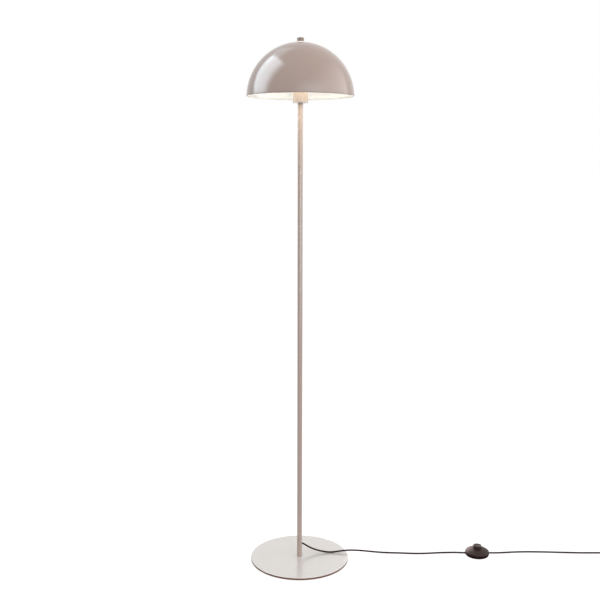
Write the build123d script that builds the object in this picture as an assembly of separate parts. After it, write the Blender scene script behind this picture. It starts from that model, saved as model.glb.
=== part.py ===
from build123d import *
import os
from math import asin, cos, pi, radians, sin, sqrt, tan

# Floor lamp: a domed metal shade on a slim pole, a round foot and a foot switch on its cord.
# Millimetres. The origin is on the floor under the pole, +Z is up and the cord leaves towards +X.

# Gaps and fits
FIT = 0.05               # radial gap of pressed and threaded pieces
RUN_FIT = 0.06           # radial gap of the knob on its stud
REST_GAP = 0.05          # gap under a piece that can be turned
GLAND_GAP = 0.1          # radial gap of the cord in a grommet or bush
LEAD_ROOM = 0.9          # radial room of the lead in the pole fittings
THREAD_ROOM = 0.3        # radial gap between the bulb cap and the screw shell

# Foot
BASE_D = 272.0
BASE_THICK = 6.0
BASE_EDGE_ROUND = 1.2
PAD_THICK = 1.5
PAD_INSET = 6.0
PAD_HOLE_D = 30.0
BOLT_D = 8.0
BOLT_HEAD_D = 15.0
BOLT_KEY = 5.0
BOLT_KEY_DEPTH = 2.4
BOLT_REACH = 14.0        # length of thread in the foot plug

# Pole
POLE_D = 14.0
POLE_WALL = 1.0
SECTION_LENGTH = 416.2
FOOT_PLUG_LENGTH = 18.0
SPIGOT_LENGTH = 40.0
TOP_BUSH_LENGTH = 16.0
TOP_BUSH_WALL = 1.0

# Cord and the hole where it leaves the pole
CORD_D = 4.5
FLOOR_LIFT = 0.05
EXIT_RISE = 39.0         # above the top of the foot, on the pole's axis
EXIT_TURN = 70.0         # degrees from +X towards +Y
EXIT_DROP = 25.0         # degrees below level
EXIT_RUN = 5.8           # first run of the cord out of its grommet
LEAD_BEND = 8.5
GROMMET_NECK_D = 7.4
GROMMET_TAIL = 0.4
GROMMET_COLLAR_D = 8.4
GROMMET_COLLAR_REACH = 3.6
GROMMET_NOSE_D = 6.4
GROMMET_NOSE_REACH = 5.5

# Lampholder, worked outwards from the bulb's screw cap
BULB_CAP_D = 26.2
SCREW_SHELL_WALL = 0.5
SCREW_SHELL_HEIGHT = 22.0
HOLDER_WALL = 2.0
HOLDER_FLOOR = 8.0
HOLDER_CAP_HEIGHT = 20.0
HOLDER_BODY_HEIGHT = 25.0
BLOCK_HEIGHT = 8.0
BLOCK_LEDGE = 3.0
TERMINAL_SCREW_D = 3.5
TERMINAL_SPACING = 15.0
CONTACT_D = 9.0
CONTACT_HEIGHT = 1.6
LOCK_WASHER_THICK = 0.8
LOCK_WASHER_D = 16.0
NUT_THICK = 3.0
NUT_KEY = 14.0
CUP_WALL = 1.2
CUP_HEIGHT = 51.5

# Bracket that carries the shade over the bulb
BRACKET_THICK = 1.2
BRACKET_WIDTH = 8.0
BRACKET_GAP = 0.4        # between bracket leg and lampholder
CUP_GAP = 1.2            # between bracket leg and cup
SADDLE_D = 24.0
CROWN_D = 16.0
BRACKET_FOOT_BEND = 2.0
BRACKET_NECK_BEND = 12.0
BRACKET_BOW_BEND = 20.0
BOW_ROOM = 10.0          # between bulb and bow
BOW_START = 4.0          # above the cup
BOW_FLARE = 26.0
BOW_SHOULDER = 24.0
STUD_D = 6.0
STUD_HEAD_D = 9.0
STUD_HEAD_THICK = 1.5
STUD_IN_KNOB = 6.5

# Shade and its knob
SHADE_RIM_R = 140.0
SHADE_HEIGHT = 136.5
SHADE_WALL = 1.0
SHADE_RISE = 17.0        # rim above the underside of the cup
SHADE_FLAT_R = 11.0
SEAT_WASHER_D = 16.0
SEAT_WASHER_THICK = 1.0
KNOB_WASHER_D = 17.0
KNOB_WASHER_THICK = 1.9
KNOB_D = 18.0
KNOB_HEIGHT = 9.5
KNOB_ROUND = 1.6
KNOB_BORE_SPARE = 0.8

# Bulb
BULB_R = 30.0
BULB_NECK_R = 12.3
BULB_WAIST_R = 25.0
BULB_GLASS_WALL = 1.0
BULB_CAP_WALL = 0.4
BULB_CAP_HEIGHT = 21.0
BULB_CONTACT_D = 9.0
BULB_CONTACT_HEIGHT = 1.4
BULB_INSULATOR_HEIGHT = 3.0
BULB_NECK_IN_CAP = 7.0
BULB_NECK_ABOVE_CAP = 4.0

# Foot switch
SWITCH_X = 506.0
SWITCH_Y = 25.5
SWITCH_D = 67.0
SWITCH_SOLE_D = 62.0
SWITCH_DOME = 11.6
SWITCH_WALL = 2.0
SWITCH_LEDGE = 0.2       # between the floor of the base and its cord holes
SWITCH_BRIDGE = 0.4      # between the cord holes and the seam
SWITCH_BUSH_WALL = 0.6
SWITCH_BUSH_PROUD = 1.0
SWITCH_BUSH_LENGTH = 5.0
SWITCH_BLOCK_X = 36.0
SWITCH_BLOCK_Y = 18.0
SWITCH_BLOCK_HEIGHT = 7.0
POST_D = 6.0
POST_R = 22.0
SCREW_D = 2.6
SCREW_LENGTH = 9.0
SCREW_HEAD_D = 5.0
SCREW_HEAD_THICK = 1.2
SCREW_GAP = 0.15
BUTTON_D = 23.0
BUTTON_GAP = 0.35
BUTTON_PROUD = 9.2
BUTTON_WALL = 1.8
BUTTON_ROOF = 2.0
BUTTON_RIM = 1.8
BUTTON_DISH = 0.7
BUTTON_ROUND = 0.6
BUTTON_FLANGE = 1.2
BUTTON_FLANGE_THICK = 1.4
BUTTON_REST_GAP = 0.3
SPRING_D = 11.0
SPRING_WIRE = 0.9
SPRING_TURNS = 5.0
SPRING_END_GAP = 0.1

# Put-away coil, its tie and the plug
COIL_X = 905.0
COIL_IN_Y = 31.0         # where the cord runs into the coil
COIL_MID_D = 50.0
COIL_PITCH = 5.05
COIL_TURNS = 3.375       # turns in each of the two layers
TIE_THICK = 0.8
TIE_WIDTH = 6.0
TIE_GAP = 0.35
TIE_ROUND = 2.0
PLUG_STANDOFF = 66.0     # from the end of the coil to the tail of the plug
PLUG_SHIFT = 3.0
PLUG_FIRST_RUN = 14.0
PLUG_LAST_RUN = 32.0
PLUG_WIDTH = 34.0
PLUG_THICK = 14.0
PLUG_LENGTH = 36.0
PLUG_SHOULDER = 20.0
PLUG_TAIL_WIDTH = 12.0
PLUG_TAIL_THICK = 10.0
PLUG_CORNER = 3.5
PIN_D = 4.0
PIN_LENGTH = 19.0
PIN_SPACING = 18.6
PIN_ROUND = 1.2
SLEEVE_LENGTH = 22.0
SLEEVE_ROOT_D = 8.6
SLEEVE_TIP_D = 6.4

# Heights, from the floor up
plate_low = PAD_THICK
plate_top = plate_low + BASE_THICK
lower_seam = plate_top + SECTION_LENGTH
upper_seam = lower_seam + SECTION_LENGTH
pole_top = upper_seam + SECTION_LENGTH
cup_low = pole_top
cup_floor = cup_low + CUP_WALL
cup_top = cup_low + CUP_HEIGHT
saddle_top = cup_floor + BRACKET_THICK
washer_top = saddle_top + LOCK_WASHER_THICK
nut_top = washer_top + NUT_THICK
nipple_top = nut_top + HOLDER_FLOOR
holder_seam = nut_top + HOLDER_CAP_HEIGHT
holder_top = holder_seam + HOLDER_BODY_HEIGHT
rim_height = cup_low + SHADE_RISE
dome_r = (SHADE_RIM_R**2 + SHADE_HEIGHT**2) / (2 * SHADE_HEIGHT)
dome_centre = rim_height + SHADE_HEIGHT - dome_r
shade_top = dome_centre + sqrt(dome_r**2 - SHADE_FLAT_R**2)
bracket_top = shade_top - SHADE_WALL - SEAT_WASHER_THICK
knob_low = shade_top + KNOB_WASHER_THICK + REST_GAP

# Radii shared by pieces that fit each other
cord_r = CORD_D / 2
lead_bore_r = cord_r + LEAD_ROOM
gland_bore_r = cord_r + GLAND_GAP
pole_r = POLE_D / 2
pole_bore_r = pole_r - POLE_WALL
plug_in_pole_r = pole_bore_r - FIT
nipple_r = plug_in_pole_r - TOP_BUSH_WALL - FIT
shell_bore_r = BULB_CAP_D / 2 + THREAD_ROOM
shell_r = shell_bore_r + SCREW_SHELL_WALL
holder_bore_r = shell_r + GLAND_GAP
holder_r = holder_bore_r + HOLDER_WALL
leg_x = holder_r + BRACKET_GAP + BRACKET_THICK / 2
cup_bore_r = holder_r + BRACKET_GAP + BRACKET_THICK + CUP_GAP
cup_r = cup_bore_r + CUP_WALL

exit_height = plate_top + EXIT_RISE
exit_level = Vector(cos(radians(EXIT_TURN)), sin(radians(EXIT_TURN)), 0)
exit_way = exit_level * cos(radians(EXIT_DROP)) - Vector(0, 0, sin(radians(EXIT_DROP)))
exit_frame = Plane(origin=(0, 0, exit_height), z_dir=exit_way)
exit_point = Vector(0, 0, exit_height) + exit_way * (pole_r + GROMMET_NOSE_REACH)

os.makedirs("parts", exist_ok=True)


# Shapes used again and again

def save(name, shape):
    """Write one node of the lamp."""
    export_step(shape, f"parts/{name}.step")


def disc(radius, low, high):
    """Upright cylinder about the Z axis."""
    return Pos(0, 0, low) * Cylinder(radius, high - low, align=(Align.CENTER, Align.CENTER, Align.MIN))


def ring(outer, inner, low, high):
    """Upright tube about the Z axis."""
    return disc(outer, low, high) - disc(inner, low, high)


def turned(*outline):
    """Solid of revolution about Z: outline is straight from point (r, z) to point."""
    corners = [Vector(r, 0, z) for r, z in outline]
    return revolve(Face(Wire.make_polygon(corners)), Axis.Z)


def arc_about(centre, start, end):
    """Short arc about centre, all points (r, z) in the XZ plane."""
    c = Vector(centre[0], 0, centre[1])
    a = Vector(start[0], 0, start[1])
    b = Vector(end[0], 0, end[1])
    middle = c + ((a - c) + (b - c)).normalized() * (a - c).length
    return ThreePointArc(a, middle, b)


def straight(start, end):
    """Straight edge between two points (r, z) in the XZ plane."""
    return Line((start[0], 0, start[1]), (end[0], 0, end[1]))


def spun(*edges):
    """Solid of revolution about Z of a closed chain of edges in the XZ plane."""
    return revolve(Face(Wire(edges)), Axis.Z)


def piped(path, radius):
    """Round bar along a path."""
    return sweep(Plane(origin=path @ 0, z_dir=path % 0) * Circle(radius), path)


# Foot: felt pad, steel plate and the countersunk bolt that draws the pole down on it

def make_base_pad():
    return ring(BASE_D / 2 - PAD_INSET, PAD_HOLE_D / 2, 0, PAD_THICK)


def make_base_plate():
    plate = disc(BASE_D / 2, plate_low, plate_top)
    plate = fillet(plate.edges().group_by(Axis.Z)[-1], BASE_EDGE_ROUND)
    hole_r = BOLT_D / 2 + FIT
    head_r = BOLT_HEAD_D / 2 + FIT
    seat = turned((0, plate_low), (head_r, plate_low), (hole_r, plate_low + head_r - hole_r),
                  (hole_r, plate_top), (0, plate_top))
    return plate - seat


def make_base_bolt():
    shank_r = BOLT_D / 2
    head_r = BOLT_HEAD_D / 2
    tip = plate_top + BOLT_REACH
    bolt = turned((0, plate_low), (head_r, plate_low), (shank_r, plate_low + head_r - shank_r),
                  (shank_r, tip), (0, tip))
    key = Pos(0, 0, plate_low) * RegularPolygon(BOLT_KEY / 2, 6, major_radius=False)
    return bolt - extrude(key, BOLT_KEY_DEPTH)


# Pole: three tube sections on spigots, a tapped plug at the foot and a tapped bush at the top

def make_pole_foot_plug():
    return ring(plug_in_pole_r, BOLT_D / 2 + FIT, plate_top, plate_top + FOOT_PLUG_LENGTH)


def make_pole_section(low):
    return ring(pole_r, pole_bore_r, low, low + SECTION_LENGTH)


def make_pole_lower():
    return make_pole_section(plate_top) - exit_frame * disc(GROMMET_NECK_D / 2 + FIT, 0, POLE_D)


def make_pole_spigot(seam):
    return ring(plug_in_pole_r, lead_bore_r, seam - SPIGOT_LENGTH / 2, seam + SPIGOT_LENGTH / 2)


def make_pole_top_bush():
    return ring(plug_in_pole_r, nipple_r + FIT, pole_top - TOP_BUSH_LENGTH, pole_top)


def make_pole_nipple():
    return ring(nipple_r, lead_bore_r, pole_top - TOP_BUSH_LENGTH, nipple_top)


# Cord grommet, seated on the round skin of the pole, and the lead that runs up inside

def make_cord_grommet():
    neck_r = GROMMET_NECK_D / 2
    collar_r = GROMMET_COLLAR_D / 2
    collar_out = pole_r + GROMMET_COLLAR_REACH
    nose_out = pole_r + GROMMET_NOSE_REACH
    head = turned((gland_bore_r, 0), (collar_r, 0), (collar_r, collar_out), (neck_r, collar_out),
                  (GROMMET_NOSE_D / 2, nose_out), (gland_bore_r, nose_out))
    head = exit_frame * head - disc(pole_r + FIT, exit_height - POLE_D, exit_height + POLE_D)
    neck = ring(neck_r, gland_bore_r, pole_bore_r - GROMMET_TAIL, collar_out)
    return head + exit_frame * neck


def make_pole_lead():
    bend_reach = LEAD_BEND * tan(radians(90 - EXIT_DROP) / 2)
    bend_out = Vector(0, 0, exit_height) + exit_way * bend_reach
    bend_up = Vector(0, 0, exit_height + bend_reach)
    lead_top = Vector(0, 0, nipple_top)
    path = Wire([
        Edge.make_line(exit_point, bend_out),
        Edge.make_tangent_arc(bend_out, exit_way * -1, bend_up),
        Edge.make_line(bend_up, lead_top),
    ])
    return piped(path, cord_r)


# Cup and screw lampholder, stacked on the nipple

def make_lampholder_cup():
    cup = disc(cup_r, cup_low, cup_top) - disc(cup_bore_r, cup_floor, cup_top)
    return cup - disc(nipple_r + FIT, cup_low, cup_floor)


def make_lock_washer():
    return ring(LOCK_WASHER_D / 2, nipple_r + FIT, saddle_top, washer_top)


def make_nipple_nut():
    hexagon = Pos(0, 0, washer_top) * RegularPolygon(NUT_KEY / 2, 6, major_radius=False)
    return extrude(hexagon, NUT_THICK) - disc(nipple_r + FIT, washer_top, nut_top)


def make_holder_cap():
    ledge = holder_seam - BLOCK_HEIGHT
    cap = disc(holder_r, nut_top, holder_seam)
    cap -= disc(nipple_r + FIT, nut_top, nipple_top)
    cap -= disc(holder_bore_r - BLOCK_LEDGE, nipple_top, ledge)
    return cap - disc(holder_bore_r, ledge, holder_seam)


def make_terminal_block():
    block = disc(holder_bore_r - FIT, holder_seam - BLOCK_HEIGHT, holder_seam)
    for side in (-1, 1):
        bore = disc(TERMINAL_SCREW_D / 2 + FIT, holder_seam - BLOCK_HEIGHT, holder_seam)
        block -= Pos(0, side * TERMINAL_SPACING / 2, 0) * bore
    return block


def make_terminal_screws():
    screw = disc(TERMINAL_SCREW_D / 2, holder_seam - BLOCK_HEIGHT, holder_seam)
    return Compound([Pos(0, side * TERMINAL_SPACING / 2, 0) * screw for side in (-1, 1)])


def make_centre_contact():
    return disc(CONTACT_D / 2, holder_seam, holder_seam + CONTACT_HEIGHT)


def make_screw_shell():
    return ring(shell_r, shell_bore_r, holder_seam, holder_seam + SCREW_SHELL_HEIGHT)


def make_holder_body():
    return ring(holder_r, holder_bore_r, holder_seam, holder_top)


# Bracket: a strip bent up out of the cup and bowed round the bulb, with the shade stud riveted on top

def make_shade_bracket():
    low = saddle_top - BRACKET_THICK / 2
    high = bracket_top - BRACKET_THICK / 2
    bow_x = BULB_R + BOW_ROOM
    bow_low = cup_top + BOW_START + BOW_FLARE
    bow_high = high - BOW_SHOULDER
    path = FilletPolyline(
        (0, 0, low), (leg_x, 0, low), (leg_x, 0, cup_top + BOW_START), (bow_x, 0, bow_low),
        (bow_x, 0, bow_high), (bow_x - BOW_SHOULDER, 0, high), (0, 0, high),
        radius=[BRACKET_FOOT_BEND, BRACKET_NECK_BEND] + 3 * [BRACKET_BOW_BEND],
    )
    across = Plane(origin=path @ 0, x_dir=(0, 1, 0), z_dir=path % 0)
    side = sweep(across * Rectangle(BRACKET_WIDTH, BRACKET_THICK), path)
    bracket = side + mirror(side, about=Plane.YZ)
    bracket += disc(SADDLE_D / 2, cup_floor, saddle_top)
    bracket += disc(CROWN_D / 2, bracket_top - BRACKET_THICK, bracket_top)
    bracket -= disc(nipple_r + FIT, cup_floor, saddle_top)
    return bracket - disc(STUD_D / 2 + FIT, bracket_top - BRACKET_THICK, bracket_top)


def make_bracket_stud():
    under = bracket_top - BRACKET_THICK
    tip = knob_low + STUD_IN_KNOB
    return turned((0, under - STUD_HEAD_THICK), (STUD_HEAD_D / 2, under - STUD_HEAD_THICK),
                  (STUD_HEAD_D / 2, under), (STUD_D / 2, under), (STUD_D / 2, tip), (0, tip))


# Shade: a spun dome with a small flat at its crown, clamped by the knob over a pale ring

def make_seat_washer():
    return ring(SEAT_WASHER_D / 2, STUD_D / 2 + FIT, bracket_top, shade_top - SHADE_WALL)


def make_shade():
    inner_r = dome_r - SHADE_WALL
    inner_top = shade_top - SHADE_WALL
    rim_out = (SHADE_RIM_R, rim_height)
    rim_in = (sqrt(inner_r**2 - (rim_height - dome_centre)**2), rim_height)
    flat_out = (SHADE_FLAT_R, shade_top)
    flat_in = (sqrt(inner_r**2 - (inner_top - dome_centre)**2), inner_top)
    hole_out = (STUD_D / 2 + FIT, shade_top)
    hole_in = (STUD_D / 2 + FIT, inner_top)
    centre = (0, dome_centre)
    return spun(arc_about(centre, rim_out, flat_out), straight(flat_out, hole_out),
                straight(hole_out, hole_in), straight(hole_in, flat_in),
                arc_about(centre, flat_in, rim_in), straight(rim_in, rim_out))


def make_knob_washer():
    return ring(KNOB_WASHER_D / 2, STUD_D / 2 + FIT, shade_top, shade_top + KNOB_WASHER_THICK)


def make_shade_knob():
    knob = disc(KNOB_D / 2, knob_low, knob_low + KNOB_HEIGHT)
    knob = fillet(knob.edges().group_by(Axis.Z)[-1], KNOB_ROUND)
    return knob - disc(STUD_D / 2 + RUN_FIT, knob_low, knob_low + STUD_IN_KNOB + KNOB_BORE_SPARE)


# Bulb: contact, insulator, screw cap and a round opal glass on a drawn-in neck

bulb_low = holder_seam + CONTACT_HEIGHT + REST_GAP
insulator_low = bulb_low + BULB_CONTACT_HEIGHT
bulb_cap_low = insulator_low + BULB_INSULATOR_HEIGHT
bulb_cap_top = bulb_cap_low + BULB_CAP_HEIGHT
bulb_cap_r = BULB_CAP_D / 2


def make_bulb_contact():
    return disc(BULB_CONTACT_D / 2, bulb_low, insulator_low)


def make_bulb_insulator():
    top_r = bulb_cap_r - BULB_CAP_WALL
    return turned((0, insulator_low), (BULB_CONTACT_D / 2, insulator_low), (top_r, bulb_cap_low),
                  (0, bulb_cap_low))


def make_bulb_cap():
    cap = disc(bulb_cap_r, bulb_cap_low, bulb_cap_top)
    return cap - disc(bulb_cap_r - BULB_CAP_WALL, bulb_cap_low + BULB_CAP_WALL, bulb_cap_top)


def make_bulb_glass():
    neck_low = bulb_cap_top - BULB_NECK_IN_CAP
    waist = (BULB_NECK_R + BULB_WAIST_R, bulb_cap_top + BULB_NECK_ABOVE_CAP)
    reach = BULB_WAIST_R + BULB_R
    globe = (0, waist[1] + sqrt(reach**2 - waist[0]**2))
    edges = []
    for wall in (0, BULB_GLASS_WALL):
        neck_r = BULB_NECK_R - wall
        share = (BULB_WAIST_R + wall) / reach
        meet = (waist[0] * (1 - share), waist[1] + (globe[1] - waist[1]) * share)
        crown = (0, globe[1] + BULB_R - wall)
        edges.append(straight((neck_r, neck_low), (neck_r, waist[1])))
        edges.append(arc_about(waist, (neck_r, waist[1]), meet))
        edges.append(arc_about(globe, meet, crown))
    edges.append(straight((BULB_NECK_R - BULB_GLASS_WALL, neck_low), (BULB_NECK_R, neck_low)))
    edges.append(straight((0, globe[1] + BULB_R - BULB_GLASS_WALL), (0, globe[1] + BULB_R)))
    return spun(*edges)


# Tubes and wound wires on chains of arcs

def biarc(start, start_way, end, end_way):
    """Two arcs that leave start along start_way, reach end along end_way and meet in tangency."""
    span = end - start
    both = start_way + end_way
    spread = 2 * (1 - start_way.dot(end_way))
    along = span.dot(both)
    reach = (sqrt(along**2 + spread * span.dot(span)) - along) / spread
    from_start = start + start_way * reach
    from_end = end - end_way * reach
    middle = (from_start + from_end) * 0.5
    middle_way = (from_end - from_start).normalized()
    first_arc = Edge.make_tangent_arc(start, start_way, middle)
    return [first_arc, Edge.make_tangent_arc(middle, middle_way, end)]


def wound_path(place, turns, straight_end):
    """Wire through place(turn) at every quarter turn, with straight ends, and those ends."""
    count = round(turns * 4)
    step = 1e-4
    at = [turns * i / count for i in range(count + 1)]
    points = [place(t) for t in at]
    ways = [(place(t + step) - place(t - step)).normalized() for t in at]
    first = points[0] - ways[0] * straight_end
    last = points[-1] + ways[-1] * straight_end
    edges = [Edge.make_line(first, points[0])]
    for i in range(count):
        edges += biarc(points[i], ways[i], points[i + 1], ways[i + 1])
    edges.append(Edge.make_line(points[-1], last))
    return Wire(edges), first, last, ways[-1]


def least_gap(path, turns, wire_d):
    """Least free gap between turns: the nearest points at least half a turn apart, less the wire."""
    per_turn = 48
    count = round(turns * per_turn)
    points = [path.position_at(i / count) for i in range(count + 1)]
    pairs = (
        (points[i] - points[j]).length
        for i in range(count + 1)
        for j in range(i + per_turn // 2, count + 1)
    )
    return min(pairs) - wire_d


def cord_tube(name, points):
    """Cord along straight runs with each corner as round as its runs allow; prints radii and volume."""
    ways = [points[i + 1] - points[i] for i in range(len(points) - 1)]
    radii = []
    for before, after in zip(ways, ways[1:]):
        half_turn = radians(before.get_angle(after)) / 2
        radii.append(0.45 * min(before.length, after.length) / tan(half_turn))
    path = FilletPolyline(*points, radius=radii)
    tube = piped(path, cord_r)
    share = tube.volume / (pi * cord_r**2 * path.length)
    rounded = [round(r, 1) for r in radii]
    print(f"{name}: length {path.length:.1f}, volume ratio {share:.4f}, radii {rounded}")
    return tube


# Foot switch: two shells, a sprung push button and a contact block, with a bush on each side

switch_r = SWITCH_D / 2
sole_r = SWITCH_SOLE_D / 2
button_r = BUTTON_D / 2
button_hole_r = button_r + BUTTON_GAP
flange_r = button_r + BUTTON_FLANGE
bush_r = gland_bore_r + SWITCH_BUSH_WALL
bush_hole_r = bush_r + FIT
bush_out = switch_r + SWITCH_BUSH_PROUD
switch_cord_height = SWITCH_WALL + SWITCH_LEDGE + bush_hole_r
switch_seam = switch_cord_height + bush_hole_r + SWITCH_BRIDGE
switch_centre = Pos(SWITCH_X, SWITCH_Y, 0)
block_top = SWITCH_WALL + SWITCH_BLOCK_HEIGHT


def dome_height(radius, outer, rise):
    """Height above the seam of an elliptic dome at a radius."""
    return rise * sqrt(1 - (radius / outer)**2)


def quarter(centre_r, width, rise, up):
    """Quarter ellipse about (centre_r, seam) from its widest point to its highest or lowest."""
    plane = Plane(origin=(centre_r, 0, switch_seam), x_dir=(1, 0, 0), z_dir=(0, -1, 0))
    return plane * EllipticalCenterArc((0, 0), width, rise, start_angle=0, arc_size=90 if up else -90)


def dome_solid(outer, rise):
    """Filled half of a flattened ball above the seam."""
    return spun(quarter(0, outer, rise, True), straight((0, switch_seam + rise), (0, switch_seam)),
                straight((0, switch_seam), (outer, switch_seam)))


def dish_solid(width, depth):
    """Filled bowl below the seam, flat inside the sole's radius."""
    low = switch_seam - depth
    middle = (0, switch_seam)
    return spun(quarter(sole_r, width, depth, False), straight((sole_r, low), (0, low)),
                straight((0, low), middle), straight(middle, (sole_r + width, switch_seam)))


button_lip = switch_seam + dome_height(button_hole_r, switch_r, SWITCH_DOME)
button_top = button_lip + BUTTON_PROUD
flange_top = (switch_seam + dome_height(flange_r, switch_r - SWITCH_WALL, SWITCH_DOME - SWITCH_WALL)
              - BUTTON_REST_GAP)
flange_low = flange_top - BUTTON_FLANGE_THICK
button_roof = button_top - BUTTON_DISH - BUTTON_ROOF


def side_bar(radius, start, end):
    """Round bar along X at the height of the cord."""
    bar = disc(radius, start, end)
    return Pos(0, 0, switch_cord_height) * Rot(0, 90, 0) * bar


def at_posts(shape):
    """A copy of the shape at each screw post."""
    return [Pos(0, side * POST_R, 0) * shape for side in (-1, 1)]


def make_switch_base():
    edge = switch_r - sole_r
    shell = dish_solid(edge, switch_seam) - dish_solid(edge - SWITCH_WALL, switch_seam - SWITCH_WALL)
    shell -= side_bar(bush_hole_r, -bush_out, bush_out)
    for hole in at_posts(disc(SCREW_D / 2 + SCREW_GAP, 0, SWITCH_WALL)):
        shell -= hole
    for recess in at_posts(disc(SCREW_HEAD_D / 2 + SCREW_GAP, 0, SCREW_HEAD_THICK)):
        shell -= recess
    return switch_centre * shell


def make_switch_cover():
    full = dome_solid(switch_r, SWITCH_DOME)
    shell = full - dome_solid(switch_r - SWITCH_WALL, SWITCH_DOME - SWITCH_WALL)
    post_room = full + disc(switch_r - SWITCH_WALL, SWITCH_WALL, switch_seam)
    for post in at_posts(disc(POST_D / 2, SWITCH_WALL, button_lip)):
        shell += post & post_room
    for bore in at_posts(disc(SCREW_D / 2 + FIT, SWITCH_WALL, SCREW_HEAD_THICK + SCREW_LENGTH)):
        shell -= bore
    return switch_centre * (shell - disc(button_hole_r, switch_seam, button_top))


def make_switch_screws():
    shank_top = SCREW_HEAD_THICK + SCREW_LENGTH
    screw = turned((0, 0), (SCREW_HEAD_D / 2, 0), (SCREW_HEAD_D / 2, SCREW_HEAD_THICK),
                   (SCREW_D / 2, SCREW_HEAD_THICK), (SCREW_D / 2, shank_top), (0, shank_top))
    return Compound([switch_centre * copy for copy in at_posts(screw)])


def make_switch_button():
    body = disc(button_r, flange_low, button_top)
    body = fillet(body.edges().group_by(Axis.Z)[-1], BUTTON_ROUND)
    body += disc(flange_r, flange_low, flange_top)
    body -= disc(button_r - BUTTON_RIM, button_top - BUTTON_DISH, button_top)
    return switch_centre * (body - disc(button_r - BUTTON_WALL, flange_low, button_roof))


def make_switch_block():
    block = Box(SWITCH_BLOCK_X, SWITCH_BLOCK_Y, SWITCH_BLOCK_HEIGHT)
    return switch_centre * Pos(0, 0, SWITCH_WALL + SWITCH_BLOCK_HEIGHT / 2) * block


def make_switch_spring():
    low = block_top + SPRING_END_GAP + SPRING_WIRE / 2
    high = button_roof - SPRING_END_GAP - SPRING_WIRE / 2

    def place(turn):
        angle = 2 * pi * turn
        rise = (high - low) * turn / SPRING_TURNS
        return Vector(cos(angle) * SPRING_D / 2, sin(angle) * SPRING_D / 2, low + rise)

    path = wound_path(place, SPRING_TURNS, SPRING_WIRE)[0]
    print(f"switch_spring: least gap {least_gap(path, SPRING_TURNS, SPRING_WIRE):.2f}")
    return switch_centre * piped(path, SPRING_WIRE / 2)


def make_switch_bushes():
    sleeve = side_bar(bush_r, bush_out - SWITCH_BUSH_LENGTH, bush_out)
    sleeve -= side_bar(gland_bore_r, bush_out - SWITCH_BUSH_LENGTH, bush_out)
    return Compound([switch_centre * Rot(0, 0, turn) * sleeve for turn in (0, 180)])


# Cord from the pole over the edge of the foot to the switch, in points chosen by hand

on_floor = cord_r + FLOOR_LIFT
switch_in_x = SWITCH_X - SWITCH_BLOCK_X / 2
switch_out_x = SWITCH_X + SWITCH_BLOCK_X / 2


def make_cord_to_switch():
    return cord_tube("cord_to_switch", [
        exit_point,
        exit_point + exit_way * EXIT_RUN,
        Vector(9.4, 19.6, 35.6),
        Vector(15.0, 21.9, 31.6),
        Vector(21.6, 21.8, 27.0),
        Vector(32.2, 21.0, 21.6),
        Vector(46.0, 19.7, 16.6),
        Vector(63.4, 18.6, 12.4),
        Vector(86.0, 18.2, 9.4),
        Vector(108.0, 18.8, 11.8),
        Vector(132.0, 20.2, 14.8),
        Vector(158.0, 22.6, 14.0),
        Vector(186.0, 26.2, 10.2),
        Vector(214.0, 29.8, 5.6),
        Vector(243.0, 32.0, on_floor),
        Vector(288.0, 29.8, on_floor),
        Vector(330.0, 26.2, on_floor),
        Vector(366.0, 28.0, on_floor),
        Vector(398.0, 32.0, on_floor),
        Vector(425.0, 33.2, 2.5),
        Vector(445.0, 31.0, 4.0),
        Vector(464.0, SWITCH_Y, switch_cord_height),
        Vector(switch_in_x, SWITCH_Y, switch_cord_height),
    ])


# Put-away coil: two layers that spiral in, climb over half a turn and spiral out again

coil_low = TIE_THICK + TIE_GAP + cord_r
coil_layer = COIL_PITCH
coil_out_r = (COIL_MID_D + COIL_PITCH * COIL_TURNS) / 2
coil_in_r = (COIL_MID_D - COIL_PITCH * COIL_TURNS) / 2
coil_all_turns = 2 * COIL_TURNS + 0.5
coil_lean = asin(COIL_PITCH / (2 * pi * coil_out_r))
coil_y = COIL_IN_Y - coil_out_r * cos(coil_lean)


def coil_place(turn):
    """Point of the coil's middle line: clockwise from the +Y side, seen from above."""
    climb = min(max(turn - COIL_TURNS, 0.0), 0.5)
    if turn < COIL_TURNS:
        radius = coil_out_r - COIL_PITCH * turn
    else:
        out = turn - COIL_TURNS - climb
        radius = coil_in_r + COIL_PITCH * (out - climb + 2 * climb**2)
    lift = 2 * climb
    height = coil_low + coil_layer * (3 * lift**2 - 2 * lift**3)
    angle = pi / 2 + coil_lean - 2 * pi * turn
    return Vector(COIL_X + radius * cos(angle), coil_y + radius * sin(angle), height)


coil_path, coil_first, coil_last, coil_last_way = wound_path(coil_place, coil_all_turns, CORD_D)


def make_cord_coil():
    coil = piped(coil_path, cord_r)
    share = coil.volume / (pi * cord_r**2 * coil_path.length)
    gap = least_gap(coil_path, coil_all_turns, CORD_D)
    print(f"cord_coil: length {coil_path.length:.1f}, volume ratio {share:.4f}, least gap {gap:.2f}")
    return coil


def make_cord_tie():
    inner_low = coil_in_r - COIL_PITCH / 8 - cord_r - TIE_GAP
    inner_high = coil_out_r + cord_r + TIE_GAP
    hole_x = inner_high - inner_low
    hole_z = coil_layer + CORD_D + 2 * TIE_GAP
    frame = RectangleRounded(hole_x + 2 * TIE_THICK, hole_z + 2 * TIE_THICK, TIE_ROUND + TIE_THICK)
    frame -= RectangleRounded(hole_x, hole_z, TIE_ROUND)
    place = Plane(origin=(COIL_X, coil_y - (inner_low + inner_high) / 2, coil_low + coil_layer / 2),
                  x_dir=(0, 1, 0), z_dir=(1, 0, 0))
    return extrude(place * frame, TIE_WIDTH / 2, both=True)


# Cord from the switch along the floor to the coil, and from the coil to the plug

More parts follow.
